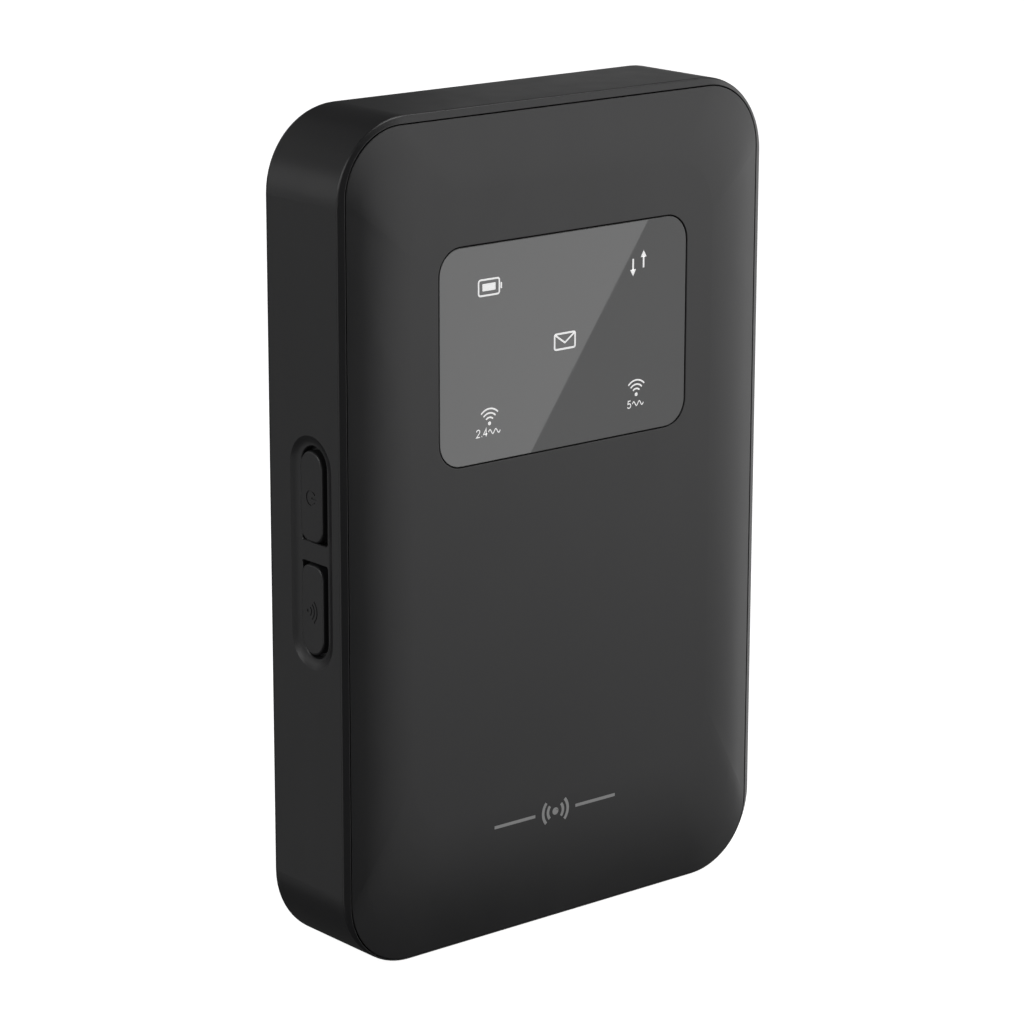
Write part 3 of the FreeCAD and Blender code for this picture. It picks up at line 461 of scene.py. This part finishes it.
def window_symbols():
    """Battery and data arrows at the window's top, envelope in its middle, radio bands at its foot."""
    battery = Print("symbol_battery", on_window)
    battery.stroke(rounded_box(-13.85, -10.6, 83.15, 85.1, 0.3), FRAME_STROKE, closed=True)
    battery.prism(rounded_box(-13.25, -11.2, 83.7, 84.6, 0.05))
    battery.prism(rounded_box(-10.42, -10.18, 83.75, 84.5, 0.08))
    data = Print("symbol_data", on_window)
    arrow(data, 11.06, 84.7, 82.5)
    arrow(data, 12.8, 83.4, 85.6)
    mail = Print("symbol_message", on_window)
    mail.stroke(rounded_box(-1.75, 1.57, 74.85, 76.8, 0.25), ENVELOPE_STROKE, closed=True)
    mail.stroke([(-1.6, 76.65), (-0.09, 75.6), (1.42, 76.65)], FRAME_STROKE)
    slow = Print("symbol_low_band", on_window)
    draw_wave(slow, (-12.13, 67.2))
    draw_digits(slow, "2.4~", -14.2, BAND_DIGITS_Z)
    fast = Print("symbol_high_band", on_window)
    draw_wave(fast, (11.79, 67.3))
    draw_digits(fast, "5~", 10.35, BAND_DIGITS_Z)
    for symbol in (battery, data, mail, slow, fast):
        symbol.ready(SYMBOL_INK, "chassis", "white_plastic")


def surface_of(node):
    data = NODES[node].data
    return BVHTree.FromPolygons([v.co for v in data.vertices], [p.vertices for p in data.polygons])


COVER_SURFACE = surface_of("front_cover")
BEFORE_COVER_Y = -20.0


def on_cover(x, z, lift):
    """The point of the crowned front at x and z, found by a ray from in front of it."""
    hit = COVER_SURFACE.ray_cast(Vector((x, BEFORE_COVER_Y, z)) * MM, Vector((0, 1, 0)))[0]
    return Vector((x, hit.y / MM - lift, z))


MARK_CENTRE = (-1.25, 14.85)
MARK_DOT_R = 0.5
MARK_RADII = (1.25, 2.05)
MARK_HALF_ANGLE = 42
MARK_STROKE = 0.42
MARK_LINES = ((-11.3, -4.6), (2.1, 8.8))
MARK_LINE_STEPS = 8


def front_mark():
    """Plain wireless sign between two lines."""
    mark = Print("front_mark", on_cover)
    mark.prism(dot_points(MARK_CENTRE, MARK_DOT_R))
    for radius in MARK_RADII:
        for middle in (0, 180):
            arc = arc_points(MARK_CENTRE, radius, middle - MARK_HALF_ANGLE, middle + MARK_HALF_ANGLE)
            mark.stroke(arc, MARK_STROKE)
    for start, end in MARK_LINES:
        line = [(start + (end - start) * i / MARK_LINE_STEPS, MARK_CENTRE[1])
                for i in range(MARK_LINE_STEPS + 1)]
        mark.stroke(line, MARK_STROKE)
    mark.ready(MARK_INK, "chassis", "white_plastic")


BORDER_SIDE = 3.0       # from the label's edges to the border line
BORDER_FOOT = 5.0
BORDER_HEAD = 4.0
BORDER_R = 1.5
BORDER_STROKE = 0.3
GAUGE_RISE = 4.0        # how far the gauge stands above the label's middle
GAUGE_HALF_WIDTH = 8.0
GAUGE_HALF_HEIGHT = 4.5
GAUGE_R = 1.0
GAUGE_STROKE = 0.6
NUB_X = (8.5, 9.6)
NUB_HALF_HEIGHT = 1.8
NUB_R = 0.3
BAR_COUNT = 4
FIRST_BAR_X = -6.6
BAR_PITCH = 3.45
BAR_WIDTH = 2.8
BAR_HALF_HEIGHT = 3.2
BAR_R = 0.4
SIGN_RISE = 9.0         # of the pole signs above the label's foot
SIGN_STROKE = 0.5
SIGN_X = 8.8
SIGN_REACH = 1.2
SIGN_GAP = 0.27         # where the plus sign's upright stops short of its crossbar


def battery_print():
    """Frame, charge gauge and pole signs on the battery's back."""
    low = low_corner("battery_label")
    high = high_corner("battery_label")
    back = high[1]

    def on_battery(x, z, lift):
        return Vector((x, back + lift, z))

    label = Print("battery_print", on_battery)
    border = rounded_box(low[0] + BORDER_SIDE, high[0] - BORDER_SIDE,
                         low[2] + BORDER_FOOT, high[2] - BORDER_HEAD, BORDER_R)
    label.stroke(border, BORDER_STROKE, closed=True)
    middle_z = (low[2] + high[2]) / 2 + GAUGE_RISE
    gauge = rounded_box(-GAUGE_HALF_WIDTH, GAUGE_HALF_WIDTH,
                        middle_z - GAUGE_HALF_HEIGHT, middle_z + GAUGE_HALF_HEIGHT, GAUGE_R)
    label.stroke(gauge, GAUGE_STROKE, closed=True)
    label.prism(rounded_box(*NUB_X, middle_z - NUB_HALF_HEIGHT, middle_z + NUB_HALF_HEIGHT, NUB_R))
    for i in range(BAR_COUNT):
        left = FIRST_BAR_X + BAR_PITCH * i
        label.prism(rounded_box(left, left + BAR_WIDTH,
                                middle_z - BAR_HALF_HEIGHT, middle_z + BAR_HALF_HEIGHT, BAR_R))
    sign_z = low[2] + SIGN_RISE
    for middle_x in (-SIGN_X, SIGN_X):
        label.stroke([(middle_x - SIGN_REACH, sign_z), (middle_x + SIGN_REACH, sign_z)], SIGN_STROKE)
    label.stroke([(SIGN_X, sign_z - SIGN_REACH), (SIGN_X, sign_z - SIGN_GAP)], SIGN_STROKE)
    label.stroke([(SIGN_X, sign_z + SIGN_GAP), (SIGN_X, sign_z + SIGN_REACH)], SIGN_STROKE)
    label.ready(LABEL_INK, "battery", "battery_wrap")


PAD_PITCH = 0.5
PAD_WIDTH = 0.27
PAD_COUNT = 12
PAD_START = 0.5         # from the tongue's end
PAD_END = 3.6
BESIDE_TONGUE = 1.2     # between the tongue and the shell


def socket_pads():
    """Gold contacts on both faces of the charging socket's tongue."""
    mouth = low_corner("usb_tongue")[2]
    middle_y = (low_corner("usb_shell")[1] + high_corner("usb_shell")[1]) / 2
    surface = surface_of("usb_tongue")
    for name, side in (("socket_pads_front", -1), ("socket_pads_back", 1)):

        def on_tongue(x, z, lift, side=side):
            start = Vector((x, middle_y + side * BESIDE_TONGUE, z)) * MM
            hit = surface.ray_cast(start, Vector((0, -side, 0)))[0]
            return Vector((x, hit.y / MM + side * lift, z))

        pads = Print(name, on_tongue)
        for i in range(PAD_COUNT):
            middle = (i - (PAD_COUNT - 1) / 2) * PAD_PITCH
            left = middle - PAD_WIDTH / 2
            right = middle + PAD_WIDTH / 2
            pads.prism([(left, mouth + PAD_START), (right, mouth + PAD_START),
                        (right, mouth + PAD_END), (left, mouth + PAD_END)])
        pads.ready(MATERIALS["gold_contact"], "chassis", "gold_contact")


window_symbols()
front_mark()
battery_print()
socket_pads()


# ---- camera -------------------------------------------------------------------------------
CAMERA_AZIMUTH = math.radians(-39.94)
CAMERA_ELEVATION = math.radians(14.89)
CAMERA_ROLL = math.radians(0.12)
CAMERA_DISTANCE = 0.46947
CAMERA_TARGET = Vector((-0.00715, -0.0064, 0.05484))
SENSOR_MM = 36.0
LENS_MM = 133.3
NEAREST_SEEN = 0.01
FARTHEST_SEEN = 20.0


def towards(azimuth, elevation):
    """The direction from the object to azimuth and elevation; azimuth 0 is straight in front."""
    return Vector((math.sin(azimuth) * math.cos(elevation),
                   -math.cos(azimuth) * math.cos(elevation),
                   math.sin(elevation)))


def add_camera():
    back = towards(CAMERA_AZIMUTH, CAMERA_ELEVATION)
    right = Vector((0, 0, 1)).cross(back).normalized()
    up = back.cross(right)
    rolled_right = math.cos(CAMERA_ROLL) * right + math.sin(CAMERA_ROLL) * up
    rolled_up = math.cos(CAMERA_ROLL) * up - math.sin(CAMERA_ROLL) * right
    camera = bpy.data.objects.new("camera", bpy.data.cameras.new("camera"))
    bpy.context.scene.collection.objects.link(camera)
    place = Matrix((rolled_right, rolled_up, back)).transposed().to_4x4()
    place.translation = CAMERA_TARGET + back * CAMERA_DISTANCE
    camera.matrix_world = place
    camera.data.sensor_width = SENSOR_MM
    camera.data.lens = LENS_MM
    camera.data.clip_start = NEAREST_SEEN
    camera.data.clip_end = FARTHEST_SEEN
    bpy.context.scene.camera = camera


add_camera()


# ---- floor, world and lights --------------------------------------------------------------
FLOOR_Z = -0.02 * MM    # a hair under the foot, so that the two faces don't coincide
FLOOR_HALF = 6.0
FLOOR_GLOW = 0.95       # keeps the floor as white as what is behind the object
BACKDROP_STRENGTH = 1.2
WORLD_FILL = 0.045


def add_floor():
    """Pale floor that only the camera sees, so that it casts no light on the object."""
    mesh = bpy.data.meshes.new("floor")
    corners = [(-FLOOR_HALF, -FLOOR_HALF, FLOOR_Z), (FLOOR_HALF, -FLOOR_HALF, FLOOR_Z),
               (FLOOR_HALF, FLOOR_HALF, FLOOR_Z), (-FLOOR_HALF, FLOOR_HALF, FLOOR_Z)]
    mesh.from_pydata(corners, [], [(0, 1, 2, 3)])
    floor = bpy.data.objects.new("floor", mesh)
    bpy.context.scene.collection.objects.link(floor)
    g = Graph("floor")
    base = g.mix(g.noise(40.0, detail=3.0), rgb(0.5), rgb(0.52))
    mesh.materials.append(g.finish({"Base Color": base, "Roughness": 0.9,
                                    "Emission Color": rgb(1.0), "Emission Strength": FLOOR_GLOW}))
    floor.visible_diffuse = False
    floor.visible_glossy = False
    floor.visible_shadow = False


def add_world():
    """White behind the object, and dim light from everywhere."""
    world = bpy.data.worlds.new("studio")
    world.use_nodes = True
    nodes = world.node_tree.nodes
    links = world.node_tree.links
    nodes.clear()

    def background(strength):
        node = nodes.new("ShaderNodeBackground")
        node.inputs["Color"].default_value = rgb(1.0)
        node.inputs["Strength"].default_value = strength
        return node

    seen = background(BACKDROP_STRENGTH)
    fill = background(WORLD_FILL)
    ray = nodes.new("ShaderNodeLightPath")
    blend = nodes.new("ShaderNodeMixShader")
    end = nodes.new("ShaderNodeOutputWorld")
    links.new(ray.outputs["Is Camera Ray"], blend.inputs[0])
    links.new(fill.outputs[0], blend.inputs[1])
    links.new(seen.outputs[0], blend.inputs[2])
    links.new(blend.outputs[0], end.inputs["Surface"])
    bpy.context.scene.world = world


AIM = Vector((0, 0, 0.053))     # the object's middle
# name, azimuth and elevation in degrees as seen from the object, distance, width and height in
# metres, radiance
LIGHTS = [
    ("key_softbox", 45.0, 10.0, 0.9, 1.0, 0.86, 1.3),
    ("key_lower", 45.0, -23.0, 0.9, 1.0, 0.2, 0.55),
    ("right_softbox", 84.0, 2.0, 0.7, 0.36, 0.8, 1.25),
    ("overhead_softbox", 60.0, 66.0, 0.7, 0.42, 0.42, 2.8),
    ("left_back_high", 240.0, 10.0, 0.7, 0.7, 0.3, 0.65),
    ("left_back_low", 240.0, -17.0, 0.7, 0.7, 0.3, 0.33),
    ("left_side_softbox", 270.0, 30.0, 0.7, 0.4, 0.4, 2.2),
    ("back_softbox", 195.0, 20.0, 0.7, 0.6, 0.5, 0.2),
    ("back_right_softbox", 126.0, 15.0, 0.7, 0.4, 0.3, 0.18),
    ("rear_key_softbox", 135.0, -13.0, 0.9, 0.95, 0.5, 1.3),
    ("left_front_softbox", 298.0, -12.0, 0.9, 0.6, 0.5, 0.8),
]


def add_panel(name, width, height, radiance):
    """Rectangular area light that the camera doesn't see. Radiance is the brightness of its face."""
    data = bpy.data.lights.new(name, "AREA")
    data.shape = "RECTANGLE"
    data.size = width
    data.size_y = height
    data.energy = radiance * math.pi * width * height
    panel = bpy.data.objects.new(name, data)
    panel.visible_camera = False
    bpy.context.scene.collection.objects.link(panel)
    return panel


def add_light(name, azimuth, elevation, distance, width, height, radiance):
    """Softbox that faces the object."""
    out = towards(math.radians(azimuth), math.radians(elevation))
    light = add_panel(name, width, height, radiance)
    light.location = AIM + out * distance
    light.rotation_euler = out.to_track_quat("Z", "Y").to_euler()


# ends of the slanting edge of the reflection that the camera sees in the window
GLARE_TOP = Vector((13.5, WINDOW_Y, 89.3)) * MM
GLARE_FOOT = Vector((-5.6, WINDOW_Y, 62.4)) * MM
GLARE_WIDTH = 0.07
GLARE_LENGTH = 0.16
GLARE_RADIANCE = 1.45


def add_window_card():
    """Narrow softbox whose straight edge shows in the glossy window as a slanting line. It stands
    on the reflected lines of sight, as far from the window as the camera, and lights nothing else."""
    mirrored_camera = bpy.context.scene.camera.matrix_world.translation.copy()
    mirrored_camera.y = 2 * GLARE_TOP.y - mirrored_camera.y
    top = 2 * GLARE_TOP - mirrored_camera
    foot = 2 * GLARE_FOOT - mirrored_camera
    along = (top - foot).normalized()
    facing = Vector((0, -1, 0))
    across = facing.cross(along)
    card = add_panel("window_card", GLARE_LENGTH, GLARE_WIDTH, GLARE_RADIANCE)
    place = Matrix((along, across, facing)).transposed().to_4x4()
    place.translation = (top + foot) / 2 + across * GLARE_WIDTH / 2
    card.matrix_world = place
    lit = bpy.data.collections.new("lit_by_window_card")
    lit.objects.link(NODES["display_window"])
    card.light_linking.receiver_collection = lit


add_floor()
add_world()
for row in LIGHTS:
    add_light(*row)
add_window_card()
bpy.context.scene.view_settings.view_transform = "Standard"
